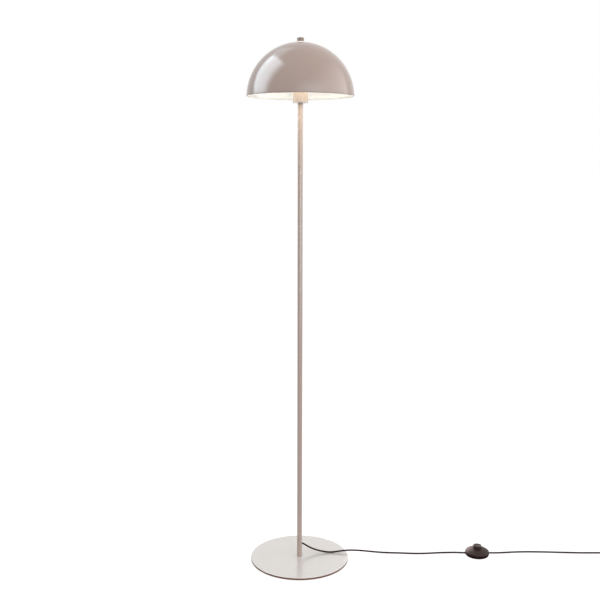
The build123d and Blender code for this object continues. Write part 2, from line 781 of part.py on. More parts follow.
def make_cord_to_coil():
    return cord_tube("cord_to_coil", [
        Vector(switch_out_x, SWITCH_Y, switch_cord_height),
        Vector(544.5, SWITCH_Y, switch_cord_height),
        Vector(563.0, 28.0, 4.0),
        Vector(585.0, 33.0, 2.7),
        Vector(611.0, 37.4, on_floor),
        Vector(650.0, 39.4, on_floor),
        Vector(700.0, 38.4, on_floor),
        Vector(750.0, 35.6, on_floor),
        Vector(801.0, 32.4, 2.5),
        Vector(851.0, COIL_IN_Y, coil_low),
        coil_first,
    ])


plug_tail_y = coil_last.Y - PLUG_STANDOFF
plug_x = coil_last.X + PLUG_SHIFT
plug_axis = PLUG_THICK / 2
plug_frame = Plane(origin=(plug_x, plug_tail_y, plug_axis), x_dir=(1, 0, 0), z_dir=(0, -1, 0))


def make_cord_to_plug():
    return cord_tube("cord_to_plug", [
        coil_last,
        coil_last + coil_last_way * PLUG_FIRST_RUN,
        Vector(plug_x, plug_tail_y + PLUG_LAST_RUN, plug_axis),
        Vector(plug_x, plug_tail_y, plug_axis),
    ])


# Two-pin plug: a flat tapered body, a bend sleeve and two round pins

def plug_section(width, thick, along):
    return Pos(0, 0, along) * RectangleRounded(width, thick, PLUG_CORNER)


def make_plug_body():
    tail = plug_section(PLUG_TAIL_WIDTH, PLUG_TAIL_THICK, 0)
    shoulder = plug_section(PLUG_WIDTH, PLUG_THICK, PLUG_SHOULDER)
    face = plug_section(PLUG_WIDTH, PLUG_THICK, PLUG_LENGTH)
    return plug_frame * loft([tail, shoulder, face], ruled=True)


def make_plug_sleeve():
    sleeve = turned((gland_bore_r, 0), (SLEEVE_ROOT_D / 2, 0), (SLEEVE_TIP_D / 2, -SLEEVE_LENGTH),
                    (gland_bore_r, -SLEEVE_LENGTH))
    return plug_frame * sleeve


def make_plug_pins():
    pin = disc(PIN_D / 2, PLUG_LENGTH, PLUG_LENGTH + PIN_LENGTH)
    pin = fillet(pin.edges().group_by(Axis.Z)[-1], PIN_ROUND)
    return Compound([plug_frame * Pos(side * PIN_SPACING / 2, 0, 0) * pin for side in (-1, 1)])


# Every node of the lamp

save("base_pad", make_base_pad())
save("base_plate", make_base_plate())
save("base_bolt", make_base_bolt())
save("pole_foot_plug", make_pole_foot_plug())
save("pole_lower", make_pole_lower())
save("pole_middle", make_pole_section(lower_seam))
save("pole_upper", make_pole_section(upper_seam))
save("pole_spigot_lower", make_pole_spigot(lower_seam))
save("pole_spigot_upper", make_pole_spigot(upper_seam))
save("pole_top_bush", make_pole_top_bush())
save("pole_nipple", make_pole_nipple())
save("cord_grommet", make_cord_grommet())
save("pole_lead", make_pole_lead())
save("lampholder_cup", make_lampholder_cup())
save("lock_washer", make_lock_washer())
save("nipple_nut", make_nipple_nut())
save("holder_cap", make_holder_cap())
save("terminal_block", make_terminal_block())
save("terminal_screws", make_terminal_screws())
save("centre_contact", make_centre_contact())
save("screw_shell", make_screw_shell())
save("holder_body", make_holder_body())
save("shade_bracket", make_shade_bracket())
save("bracket_stud", make_bracket_stud())
save("seat_washer", make_seat_washer())
save("shade", make_shade())
save("knob_washer", make_knob_washer())
save("shade_knob", make_shade_knob())
save("bulb_contact", make_bulb_contact())
save("bulb_insulator", make_bulb_insulator())
save("bulb_cap", make_bulb_cap())
save("bulb_glass", make_bulb_glass())
save("switch_base", make_switch_base())
save("switch_cover", make_switch_cover())
save("switch_screws", make_switch_screws())
save("switch_button", make_switch_button())
save("switch_block", make_switch_block())
save("switch_spring", make_switch_spring())
save("switch_bushes", make_switch_bushes())
save("cord_to_switch", make_cord_to_switch())
save("cord_to_coil", make_cord_to_coil())
save("cord_coil", make_cord_coil())
save("cord_tie", make_cord_tie())
save("cord_to_plug", make_cord_to_plug())
save("plug_body", make_plug_body())
save("plug_sleeve", make_plug_sleeve())
save("plug_pins", make_plug_pins())
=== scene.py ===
from math import radians

import bmesh
import bpy
import numpy as np
from mathutils import Matrix, Vector


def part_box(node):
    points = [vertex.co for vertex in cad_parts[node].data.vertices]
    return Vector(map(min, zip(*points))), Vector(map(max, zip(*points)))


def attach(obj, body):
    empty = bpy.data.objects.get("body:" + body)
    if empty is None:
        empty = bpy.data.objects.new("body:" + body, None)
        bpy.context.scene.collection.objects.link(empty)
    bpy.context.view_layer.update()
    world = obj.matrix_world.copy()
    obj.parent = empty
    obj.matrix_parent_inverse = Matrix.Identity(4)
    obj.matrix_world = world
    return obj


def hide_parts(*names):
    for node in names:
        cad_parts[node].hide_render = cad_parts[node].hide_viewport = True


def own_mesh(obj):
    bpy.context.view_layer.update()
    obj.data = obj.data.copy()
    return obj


# Floor lamp: round foot, slim pole, lit bulb under a half-round metal shade, foot switch on a thin cord.
# Metres, in the frame of the solids: the floor is Z = 0, the pole stands on the Z axis.
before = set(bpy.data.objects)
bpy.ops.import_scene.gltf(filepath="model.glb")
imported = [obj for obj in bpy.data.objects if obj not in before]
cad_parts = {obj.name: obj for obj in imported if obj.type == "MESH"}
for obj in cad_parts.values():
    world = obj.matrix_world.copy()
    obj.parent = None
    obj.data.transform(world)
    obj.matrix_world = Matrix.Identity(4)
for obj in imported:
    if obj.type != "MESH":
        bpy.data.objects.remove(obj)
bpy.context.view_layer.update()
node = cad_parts
for solid in node.values():
    solid.data.materials.clear()


# Foot plate: a turned steel disc with a small round along its upper edge, sprayed in satin taupe lacquer.
# Its top is painted paler than that taupe, a painted reflection of the bright room it mirrors, and its side
# darker brown, a painted shade. A felt pad is glued underneath, inside the edge.

def linear(colour):
    """Linear RGBA of an sRGB hex value: c / 12.92 up to 0.04045, else ((c + 0.055) / 1.055) ** 2.4."""
    c = np.array([int(colour[i:i + 2], 16) for i in (1, 3, 5)]) / 255
    return (*np.where(c <= 0.04045, c / 12.92, ((c + 0.055) / 1.055) ** 2.4), 1.0)


def add(finish, kind, wires=None, **settings):
    """One new node: settings are its properties, wires its socket values or the sockets that feed them."""
    new = finish.node_tree.nodes.new(kind)
    for name, value in settings.items():
        setattr(new, name, value)
    for socket, value in (wires or {}).items():
        if isinstance(value, bpy.types.NodeSocket):
            finish.node_tree.links.new(value, new.inputs[socket])
        else:
            new.inputs[socket].default_value = value
    return new


def bare_finish(name):
    """Empty node material and its output node."""
    finish = bpy.data.materials.new(name)
    finish.use_nodes = True
    finish.node_tree.nodes.clear()
    return finish, add(finish, "ShaderNodeOutputMaterial")


def lacquer(name, colour, deeper, rough, ior, peel_mm=1.6, coat=0.0):
    """Sprayed lacquer: colour drifts to a deeper tone over centimetres, gloss varies with it, and the
    surface keeps the fine orange peel of the spray gun, drawn here a little coarser than it is."""
    drift_size, gloss_swing, peel_rise = 0.045, 0.03, 2e-5
    finish, out = bare_finish(name)
    place = add(finish, "ShaderNodeTexCoord").outputs["Object"]
    drift = add(finish, "ShaderNodeTexNoise", {"Vector": place, "Scale": 1 / drift_size, "Detail": 3.0})
    drift = drift.outputs["Fac"]
    tone = add(finish, "ShaderNodeMix", {"Factor": drift, "A": linear(colour), "B": linear(deeper)},
               data_type="RGBA")
    gloss = add(finish, "ShaderNodeMapRange", {"Value": drift, "To Min": rough - gloss_swing,
                                               "To Max": rough + gloss_swing})
    peel = add(finish, "ShaderNodeTexNoise", {"Vector": place, "Scale": 1000 / peel_mm, "Detail": 2.0})
    skin = add(finish, "ShaderNodeBump", {"Height": peel.outputs["Fac"], "Strength": 0.06,
                                          "Distance": peel_rise})
    paint = add(finish, "ShaderNodeBsdfPrincipled", {
        "Base Color": tone.outputs["Result"], "Roughness": gloss.outputs["Result"],
        "Normal": skin.outputs["Normal"], "IOR": ior, "Coat Weight": coat, "Coat Roughness": rough})
    finish.node_tree.links.new(paint.outputs["BSDF"], out.inputs["Surface"])
    return finish


def round_off(r, z, radius, start, end, count):
    """Points (r, z) of an arc about a centre, from a start to an end angle in degrees."""
    turn = np.radians(np.linspace(start, end, count))
    return np.c_[r + radius * np.cos(turn), z + radius * np.sin(turn)]


def finished(name, points, faces, finishes, body, stands_for, finish_of=0):
    """Closed piece from arrays of points and faces: doubles merged, faces turned outwards, shaded smooth up
    to edges of 35 degrees. finish_of numbers the finish of each face. The piece rides on its body."""
    mesh = bpy.data.meshes.new(name)
    mesh.from_pydata(points.tolist(), [], faces)
    mesh.polygons.foreach_set("material_index", np.broadcast_to(finish_of, len(faces)).astype(np.int32))
    work = bmesh.new()
    work.from_mesh(mesh)
    bmesh.ops.remove_doubles(work, verts=work.verts, dist=1e-7)
    bmesh.ops.recalc_face_normals(work, faces=work.faces)
    work.to_mesh(mesh)
    work.free()
    mesh.shade_smooth()
    mesh.set_sharp_from_angle(angle=radians(35))
    for finish in finishes:
        mesh.materials.append(finish)
    piece = bpy.data.objects.new(name, mesh)
    bpy.context.collection.objects.link(piece)
    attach(piece, body)
    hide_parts(*stands_for)
    return piece


def turned(name, outline, finishes, body, stands_for, middle=(0.0, 0.0), finish_of=None, steps=192):
    """Piece spun about an upright axis: vertex (i, j) is (r_i cos t_j, r_i sin t_j, z_i) from the middle,
    with t_j = 2 pi j / steps, on a closed outline (r, z). Every straight of the outline over 3 mm gets a
    point 0.4 mm inside each end, so that it shades flat; points on the axis are merged."""
    straight, inside = 0.003, 0.0004
    outline = np.array(outline, float)
    onward = np.roll(outline, -1, axis=0) - outline
    length = np.hypot(*onward.T)
    share = np.stack([0 * length, inside / length, 1 - inside / length], axis=1)
    keep = np.stack([length > 0, length > straight, length > straight], axis=1)
    r, z = (outline[:, None] + onward[:, None] * share[..., None])[keep].T
    which = np.repeat(np.zeros(len(outline)) if finish_of is None else finish_of, keep.sum(axis=1))
    turn = 2 * np.pi * np.arange(steps) / steps
    points = np.stack([middle[0] + np.outer(r, np.cos(turn)), middle[1] + np.outer(r, np.sin(turn)),
                       np.outer(z, np.ones(steps))], axis=-1)
    i, j = np.meshgrid(np.arange(len(r)), np.arange(steps), indexing="ij")
    i_next, j_next = (i + 1) % len(r), (j + 1) % steps
    quads = np.stack([i * steps + j, i * steps + j_next, i_next * steps + j_next, i_next * steps + j],
                     axis=-1)
    return finished(name, points.reshape(-1, 3), quads.reshape(-1, 4).tolist(), finishes, body,
                    stands_for, np.repeat(which, steps))


plate_low, plate_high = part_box("base_plate")
plate_r, plate_top, plate_under = plate_high.x, plate_high.z, plate_low.z
plate_round, plate_break, plate_hole_r = 0.0012, 0.0004, 0.0041
# Satin lacquer with a soft sheen. Its top colour is painted pale, a painted reflection of the bright room.
# On the side it is painted dull and dark brown, a painted shade.
plate_top_painted_pale = lacquer("satin_lacquer_painted_pale_on_plate_top", "#CAC4C0", "#C4BEB9", 0.24, 2.4, 1.2, 1.0)
plate_side_painted_shade = lacquer("lacquer_painted_dark_brown_shade_on_plate_side", "#74523F", "#684937", 0.5, 1.3)
plate_outline = np.r_[
    [(plate_hole_r, plate_under), (plate_hole_r, plate_top)],
    round_off(plate_r - plate_round, plate_top - plate_round, plate_round, 90, 0, 9),
    [(plate_r, plate_under + plate_break), (plate_r - plate_break, plate_under)],
]
# Finish of each ring of faces: hole, top and most of the round, then the side with its painted shade, and the
# underside.
plate_finish = [0] * 9 + [1] * 4
turned("foot_plate", plate_outline, [plate_top_painted_pale, plate_side_painted_shade], "lamp", ["base_plate"],
       finish_of=plate_finish, steps=256)

# Wool felt is dark and dull, with a nap that lifts a faint bloom. Its fibres are drawn coarser than they are.
fibre_size, nap_rise = 0.0012, 2e-4
felt, out = bare_finish("wool_felt")
place = add(felt, "ShaderNodeTexCoord").outputs["Object"]
fibre = add(felt, "ShaderNodeTexNoise", {"Vector": place, "Scale": 1 / fibre_size, "Detail": 6.0,
                                         "Distortion": 1.5}).outputs["Fac"]
tone = add(felt, "ShaderNodeMix", {"Factor": fibre, "A": linear("#2B2624"), "B": linear("#4A423E")},
           data_type="RGBA")
nap = add(felt, "ShaderNodeBump", {"Height": fibre, "Strength": 0.8, "Distance": nap_rise})
wool = add(felt, "ShaderNodeBsdfPrincipled", {"Base Color": tone.outputs["Result"], "Roughness": 0.95,
                                              "Normal": nap.outputs["Normal"], "Sheen Weight": 0.4})
felt.node_tree.links.new(wool.outputs["BSDF"], out.inputs["Surface"])
node["base_pad"].data.materials.append(felt)


# Steel fittings: bolt, plugs, spigots, nipple, nut, washers, stud, screws and spring, turned or wound from
# steel and zinc plated. They hold the foot, the pole, the shade and the switch together.

# Zinc plate has a cool grey sheen with faint turning marks, 300 to the metre round a piece and finer up it.
marks_a_metre, mark_size = 300.0, 0.0003
zinc, out = bare_finish("zinc_plated_steel")
place = add(zinc, "ShaderNodeTexCoord").outputs["Object"]
stretch = add(zinc, "ShaderNodeMapping", {"Vector": place,
                                          "Scale": (marks_a_metre, marks_a_metre, 1 / mark_size)})
marks = add(zinc, "ShaderNodeTexNoise", {"Vector": stretch.outputs["Vector"], "Scale": 1.0, "Detail": 3.0})
marks = marks.outputs["Fac"]
tone = add(zinc, "ShaderNodeMix", {"Factor": marks, "A": linear("#B4B8BC"), "B": linear("#CFD2D4")},
           data_type="RGBA")
gloss = add(zinc, "ShaderNodeMapRange", {"Value": marks, "To Min": 0.24, "To Max": 0.42})
steel = add(zinc, "ShaderNodeBsdfPrincipled", {"Base Color": tone.outputs["Result"], "Metallic": 1.0,
                                               "Roughness": gloss.outputs["Result"]})
zinc.node_tree.links.new(steel.outputs["BSDF"], out.inputs["Surface"])
for name in ("base_bolt", "pole_foot_plug", "pole_spigot_lower", "pole_spigot_upper", "pole_top_bush",
             "pole_nipple", "lock_washer", "nipple_nut", "bracket_stud", "seat_washer", "switch_screws"):
    node[name].data.materials.append(zinc)


# Pole: three lengths of drawn steel tube butted on inner spigots, sprayed in the shade's taupe lacquer.
# Each tube end is broken by a hair-fine chamfer, so the two joints show as thin lines.

# Semi-gloss lacquer is an even taupe that mirrors soft lights with clear edges.
taupe = lacquer("semi_gloss_taupe_lacquer", "#A79186", "#A18B80", 0.15, 1.8)
pole_wall, pole_break = 0.001, 0.00025
for name in ("pole_middle", "pole_upper"):
    low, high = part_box(name)
    bore_r = high.x - pole_wall
    turned(name + "_tube", [(bore_r, low.z), (high.x - pole_break, low.z), (high.x, low.z + pole_break),
                            (high.x, high.z - pole_break), (high.x - pole_break, high.z), (bore_r, high.z)],
           [taupe], "lamp", [name], steps=96)
node["pole_lower"].data.materials.append(taupe)


# Lampholder cup: a turned metal cup, open at the top, that hides the lampholder. Its floor is clamped on
# the pole's nipple, and it is lacquered like the pole.

cup_low, cup_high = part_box("lampholder_cup")
cup_r, cup_wall, cup_break, nipple_hole_r = cup_high.x, 0.0012, 0.0004, 0.005
cup_floor = cup_low.z + cup_wall
turned("cup", [(nipple_hole_r, cup_low.z), (cup_r - cup_break, cup_low.z), (cup_r, cup_low.z + cup_break),
               (cup_r, cup_high.z - cup_break), (cup_r - cup_break, cup_high.z),
               (cup_r - cup_wall, cup_high.z), (cup_r - cup_wall, cup_floor), (nipple_hole_r, cup_floor)],
       [taupe], "lamp", ["lampholder_cup"])


# Screw lampholder: two white resin shells round a terminal block, with brass contacts and a nickel-plated
# screw shell that takes the bulb's cap. It sits on the nipple, inside the cup.

def mottled(name, tones, size, detail, shine, relief=None, gloss=None):
    """Finish whose colour drifts between two tones in a noise of a size in metres. shine sets sockets of the
    shader; relief (strength, metres) makes the noise a bump too, gloss (low, high) spreads the roughness."""
    finish, out = bare_finish(name)
    place = add(finish, "ShaderNodeTexCoord").outputs["Object"]
    grain = add(finish, "ShaderNodeTexNoise", {"Vector": place, "Scale": 1 / size, "Detail": detail})
    grain = grain.outputs["Fac"]
    tone = add(finish, "ShaderNodeMix", {"Factor": grain, "A": linear(tones[0]), "B": linear(tones[1])},
               data_type="RGBA")
    wires = {"Base Color": tone.outputs["Result"], **shine}
    if gloss:
        spread = add(finish, "ShaderNodeMapRange", {"Value": grain, "To Min": gloss[0], "To Max": gloss[1]})
        wires["Roughness"] = spread.outputs["Result"]
    if relief:
        skin = add(finish, "ShaderNodeBump", {"Height": grain, "Strength": relief[0], "Distance": relief[1]})
        wires["Normal"] = skin.outputs["Normal"]
    shader = add(finish, "ShaderNodeBsdfPrincipled", wires)
    finish.node_tree.links.new(shader.outputs["BSDF"], out.inputs["Surface"])
    return finish


# Moulded resin is a clean, half-matt white with a fine grain from the mould, drawn coarser than it is.
resin = mottled("white_urea_resin", ("#EFEDE8", "#F7F6F2"), 0.0008, 2.0, {"Roughness": 0.42},
                relief=(0.3, 2e-5))
for name in ("holder_cap", "holder_body", "terminal_block", "switch_block"):
    node[name].data.materials.append(resin)

# Plain brass is a warm yellow metal, dulled in patches by tarnish.
brass = mottled("plain_brass", ("#E3BE74", "#C79A52"), 0.003, 4.0, {"Metallic": 1.0, "Roughness": 0.3})
for name in ("terminal_screws", "centre_contact", "bulb_contact"):
    node[name].data.materials.append(brass)

# Nickel plate is a bright, faintly warm mirror under a thin haze.
nickel = mottled("nickel_plate", ("#D6D2CA", "#C8C4BC"), 0.004, 3.0, {"Metallic": 1.0}, gloss=(0.14, 0.26))
for name in ("plug_pins", "screw_shell", "bulb_cap"):
    node[name].data.materials.append(nickel)


# Bulb: blown opal glass on a screw cap with a black glass insulator, screwed into the lampholder.
# It is lit, so the whole glass glows warm, a little deeper towards the neck.

# Lit opal glass shows as a plain warm white, too bright for any detail.
glow_low, glow_high = 1.305, 1.345
opal, out = bare_finish("lit_opal_glass")
place = add(opal, "ShaderNodeTexCoord").outputs["Object"]
height = add(opal, "ShaderNodeSeparateXYZ", {"Vector": place}).outputs["Z"]
rise = add(opal, "ShaderNodeMapRange", {"Value": height, "From Min": glow_low, "From Max": glow_high})
glow = add(opal, "ShaderNodeMix", {"Factor": rise.outputs["Result"], "A": linear("#FFF1DE"),
                                   "B": linear("#FFFAF2")}, data_type="RGBA")
glass = add(opal, "ShaderNodeBsdfPrincipled", {
    "Base Color": linear("#F7F1E6"), "Roughness": 0.25, "Emission Color": glow.outputs["Result"],
    "Emission Strength": 12.0})
opal.node_tree.links.new(glass.outputs["BSDF"], out.inputs["Surface"])
bulb_low, bulb_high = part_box("bulb_glass")
bulb_r, neck_r, neck_long, waist_r, glass_wall = 0.030, 0.0123, 0.011, 0.025, 0.001
waist_z = bulb_low.z + neck_long
globe_z = bulb_high.z - bulb_r
lean = np.degrees(np.arctan2(globe_z - waist_z, neck_r + waist_r))


def bulb_skin(inset):
    """Outline of the bulb, drawn in by the inset: straight neck, hollow waist and globe, up to the axis."""
    skin = np.r_[[(neck_r - inset, bulb_low.z)],
                 round_off(neck_r + waist_r, waist_z, waist_r + inset, 180, 180 - lean, 14),
                 round_off(0, globe_z, bulb_r - inset, -lean, 90, 40)[1:]]
    skin[-1, 0] = 0.0
    return skin


turned("bulb_globe", np.r_[bulb_skin(0.0), bulb_skin(glass_wall)[::-1]], [opal], "bulb",
       ["bulb_glass"], steps=128)

# Black glass is nearly black, with a wet gloss and a faint swirl.
black_glass = mottled("black_vitrite_glass", ("#121214", "#232326"), 0.005, 2.0, {"Roughness": 0.08})
node["bulb_insulator"].data.materials.append(black_glass)


# Shade bracket: a bent steel strip, clamped on the nipple, that goes round the bulb and carries the shade's
# stud. It is sprayed matt white, so that it hardly shades the light.

white_strip = lacquer("matt_white_lacquer_on_strip", "#EDE9E2", "#E6E2DA", 0.5, 1.5)
node["shade_bracket"].data.materials.append(white_strip)


# Shade: a dome spun from one steel disc, with a small flat at its crown and a hemmed rim, clamped on the
# bracket's stud. Semi-gloss taupe lacquer outside, warm white inside, where the bulb lights it.

# Matt white takes the bulb's light evenly. On the hem the taupe and the white are painted darker: painted
# shade along the fold of the rim.
shade_white = lacquer("matt_white_lacquer_inside_shade", "#C8C4C4", "#C3BFBF", 0.45, 1.5)
hem_taupe_painted_shade = lacquer("taupe_lacquer_painted_shade_on_hem", "#9A857B", "#937E74", 0.24, 1.6)
hem_white_painted_shade = lacquer("white_lacquer_painted_shade_inside_hem", "#B3AAA2", "#ADA49C", 0.45, 1.5)
shade_low, shade_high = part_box("shade")
shade_wall, crown_r, crown_hole_r, hem = 0.001, 0.011, 0.00305, 0.0026
lip = shade_wall / 2
rim_r, rim_z = shade_high.x, shade_low.z
# The dome's centre is as far from the edge of the rim as from the edge of the crown's flat.
dome_z = (crown_r ** 2 + shade_high.z ** 2 - rim_r ** 2 - rim_z ** 2) / (2 * (shade_high.z - rim_z))
dome_r = np.hypot(rim_r, rim_z - dome_z)
inner_r = dome_r - shade_wall
crown, inner_crown = np.degrees(np.arccos(crown_r / np.array([dome_r, inner_r])))
hem_top, hem_low = np.degrees(np.arcsin((rim_z + np.array([hem, lip]) - dome_z) / dome_r))
hem_lip = round_off((dome_r - lip) * np.cos(np.radians(hem_low)), rim_z + lip, lip, 180, 360, 9)
shade_outline = np.r_[
    round_off(0, dome_z, dome_r, hem_low, hem_top, 4)[:-1],
    round_off(0, dome_z, dome_r, hem_top, crown, 72),
    [(crown_hole_r, shade_high.z), (crown_hole_r, shade_high.z - shade_wall)],
    round_off(0, dome_z, inner_r, inner_crown, hem_top, 72),
    round_off(0, dome_z, inner_r, hem_top, hem_low, 4)[1:-1],
    hem_lip[:-1],
]
# Finish of each ring of faces: hem and dome outside, dome and hem inside, then the lip's outer half.
shade_finish = [2] * 3 + [0] * 73 + [1] * 72 + [3] * 7 + [2] * 4
turned("shade_dome", shade_outline, [taupe, shade_white, hem_taupe_painted_shade, hem_white_painted_shade], "lamp",
       ["shade"], finish_of=shade_finish, steps=256)


# Knob: a small turned knob that clamps the crown of the shade on its stud, in a darker tone of the lacquer.
# A frosted plastic ring keeps it off the lacquer. A painted glow makes the ring show bright.

# Frosted nylon is milky. An emission gives it a painted glow, so it shows as a thin pale line of light. Its
# frost is drawn coarser than it is.
frosted_nylon_painted_glow = mottled("frosted_white_nylon_painted_glow", ("#F1EFEB", "#F8F7F5"), 0.0009, 2.0, {
    "Roughness": 0.5, "Emission Color": linear("#FFF6EA"), "Emission Strength": 0.75})
node["knob_washer"].data.materials.append(frosted_nylon_painted_glow)

knob_low, knob_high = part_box("shade_knob")
knob_r, knob_round, knob_break = knob_high.x, 0.0016, 0.0003
stud_hole_r, stud_hole_deep = 0.00306, 0.0073
stud_hole_z = knob_low.z + stud_hole_deep
# Brown lacquer has the shade's sheen, a little softer and darker.
knob_lacquer = lacquer("semi_gloss_brown_lacquer", "#8F7B6E", "#867265", 0.28, 1.6)
turned("crown_knob", np.r_[
    [(stud_hole_r, knob_low.z), (knob_r - knob_break, knob_low.z), (knob_r, knob_low.z + knob_break)],
    round_off(knob_r - knob_round, knob_high.z - knob_round, knob_round, 0, 90, 9),
    [(0.0, knob_high.z), (0.0, stud_hole_z), (stud_hole_r, stud_hole_z)],
], [knob_lacquer], "knob", ["shade_knob"], steps=128)


# Foot switch: two moulded shells in dark brown plastic, like a flattened ball, with a dished push button on
# a spring. The shells are screwed together and hold the cord in soft bushes.

# Hard brown plastic is dark with an even sheen from the mould's fine sparked grain, drawn coarser than it is.
spark_size, spark_rise, bloom_size = 0.0007, 4e-5, 0.012
brown, out = bare_finish("moulded_dark_brown_plastic")
place = add(brown, "ShaderNodeTexCoord").outputs["Object"]
spark = add(brown, "ShaderNodeTexNoise", {"Vector": place, "Scale": 1 / spark_size, "Detail": 2.0})
bloom = add(brown, "ShaderNodeTexNoise", {"Vector": place, "Scale": 1 / bloom_size, "Detail": 3.0})
tone = add(brown, "ShaderNodeMix", {"Factor": bloom.outputs["Fac"], "A": linear("#261612"),
                                    "B": linear("#2F1C18")}, data_type="RGBA")
skin = add(brown, "ShaderNodeBump", {"Height": spark.outputs["Fac"], "Strength": 0.5,
                                     "Distance": spark_rise})
moulding = add(brown, "ShaderNodeBsdfPrincipled", {
    "Base Color": tone.outputs["Result"], "Roughness": 0.5, "Specular IOR Level": 0.26,
    "Normal": skin.outputs["Normal"]})
brown.node_tree.links.new(moulding.outputs["BSDF"], out.inputs["Surface"])

# Soft vinyl is as dark and a little duller, with the same coarsely drawn grain.
soft_brown = mottled("soft_moulded_vinyl", ("#2A1A1A", "#352323"), 0.0009, 2.0, {
    "Roughness": 0.55, "Specular IOR Level": 0.3}, relief=(0.4, 3e-5))
for name in ("switch_bushes", "plug_sleeve", "cord_grommet", "cord_tie"):
    node[name].data.materials.append(soft_brown)

# The lower shell is a darker, duller copy of the cover's plastic, a painted shade, so that it stays a dark
# line above the floor.
lower_shell_painted_shade = mottled("brown_plastic_painted_shade_lower_shell", ("#211210", "#2B1916"), 0.0006, 2.0, {
    "Roughness": 0.7, "Specular IOR Level": 0.04})
node["switch_base"].data.materials.append(lower_shell_painted_shade)

cover_low, cover_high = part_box("switch_cover")
switch_x, switch_y = (cover_low.x + cover_high.x) / 2, (cover_low.y + cover_high.y) / 2
switch_r, switch_seam, cover_rise, cover_wall, button_hole_r = 0.0335, 0.0086, 0.0116, 0.002, 0.01185
seam_step, inside_r = 0.0006, switch_r - cover_wall
hole_angle, inside_angle = np.degrees(np.arccos(button_hole_r / np.array([switch_r, inside_r])))
# Both skins of the cover are ellipses about its seam: r = a cos t and z = seam + b sin t.
sweep = np.radians(np.linspace(2, hole_angle, 40))
outer = np.c_[switch_r * np.cos(sweep), switch_seam + cover_rise * np.sin(sweep)]
sweep = np.radians(np.linspace(inside_angle, 0, 30))
inner = np.c_[inside_r * np.cos(sweep), switch_seam + (cover_rise - cover_wall) * np.sin(sweep)]
switch_dome = turned("switch_dome", np.r_[[(switch_r - seam_step, switch_seam)], outer, inner], [brown],
                     "lamp", ["switch_cover"], middle=(switch_x, switch_y))

button_low, button_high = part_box("switch_button")
button_r, button_round, button_wall, flange_r, flange_thick = 0.0115, 0.0008, 0.0018, 0.0127, 0.0014
dish_r, dish_deep, roof = 0.0098, 0.0009, 0.0027
flange_top, roof_z = button_low.z + flange_thick, button_high.z - roof
spread = np.linspace(1, 0, 14)
dish = np.c_[dish_r * spread, button_high.z - dish_deep * (1 - spread ** 4)]
push_button = turned("push_button", np.r_[
    [(button_r - button_wall, button_low.z), (flange_r, button_low.z), (flange_r, flange_top),
     (button_r, flange_top)],
    round_off(button_r - button_round, button_high.z - button_round, button_round, 0, 90, 8),
    dish,
    [(0.0, roof_z), (button_r - button_wall, roof_z)],
], [brown], "switch_button", ["switch_button"], middle=(switch_x, switch_y))


def skinned(name, rings, finish, body, stands_for):
    """Piece skinned over rings of points: quads join ring i to ring i + 1 and point j to point j + 1, and a
    fan about the middle of the first and of the last ring closes each end."""
    count, steps = rings.shape[:2]
    i, j = np.meshgrid(np.arange(count - 1), np.arange(steps), indexing="ij")
    j_next = (j + 1) % steps
    quads = np.stack([i * steps + j, i * steps + j_next, (i + 1) * steps + j_next, (i + 1) * steps + j],
                     axis=-1)
    edge, last_ring, hub = np.arange(steps), (count - 1) * steps, count * steps
    fan = np.c_[edge, np.roll(edge, -1), 0 * edge]
    fans = np.r_[fan + [0, 0, hub], fan + [last_ring, last_ring, hub + 1]]
    return finished(name, np.r_[rings.reshape(-1, 3), rings[[0, -1]].mean(axis=1)],
                    quads.reshape(-1, 4).tolist() + fans.tolist(), [finish], body, stands_for)


# The return spring is a wire wound in an open helix: its middle line is (r cos t, r sin t, c t), and the
# wire's round section stands across that line.
spring_low, spring_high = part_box("switch_spring")
wire_r, wind_r, winds, press_travel = 0.00045, 0.0055, 5, 0.004
steps_a_wind, wire_sides = 40, 12
spring_rise = spring_high.z - spring_low.z - 2 * wire_r
turn = np.linspace(0, 2 * np.pi * winds, steps_a_wind * winds + 1)[:, None]
climb = np.arctan(spring_rise / (2 * np.pi * winds * wind_r))
out_way = np.c_[np.cos(turn), np.sin(turn), 0 * turn]
up_way = np.c_[np.sin(climb) * np.sin(turn), -np.sin(climb) * np.cos(turn), np.cos(climb) + 0 * turn]
middle = [switch_x, switch_y, spring_low.z + wire_r] + wind_r * out_way
middle[:, 2:] += spring_rise * turn / turn[-1]
around = 2 * np.pi * np.arange(wire_sides)[None, :, None] / wire_sides
wire = middle[:, None] + wire_r * (np.cos(around) * out_way[:, None] + np.sin(around) * up_way[:, None])
return_spring = skinned("return_spring", wire, zinc, "lamp", ["switch_spring"])
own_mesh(return_spring)


# Plug: a flat two-pin plug moulded on the end of the cord in the same dark brown plastic, narrow where the
# cord enters and grooved across its broad sides for the fingers. A tapered sleeve runs out along the cord.

plug_low, plug_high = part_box("plug_body")
plug_x, plug_tail_y, plug_z = (plug_low.x + plug_high.x) / 2, plug_high.y, (plug_low.z + plug_high.z) / 2
plug_long, plug_edge, plug_sides = plug_high.y - plug_low.y, 0.0012, 96
groove_start, groove_pitch, groove_deep, groove_count = 0.0205, 0.0028, 0.0007, 4
taper_long, tail_a, tail_b, tail_power = 0.020, 0.006, 0.005, 2.4
more_a, more_b, more_power = 0.011, 0.002, 2.6


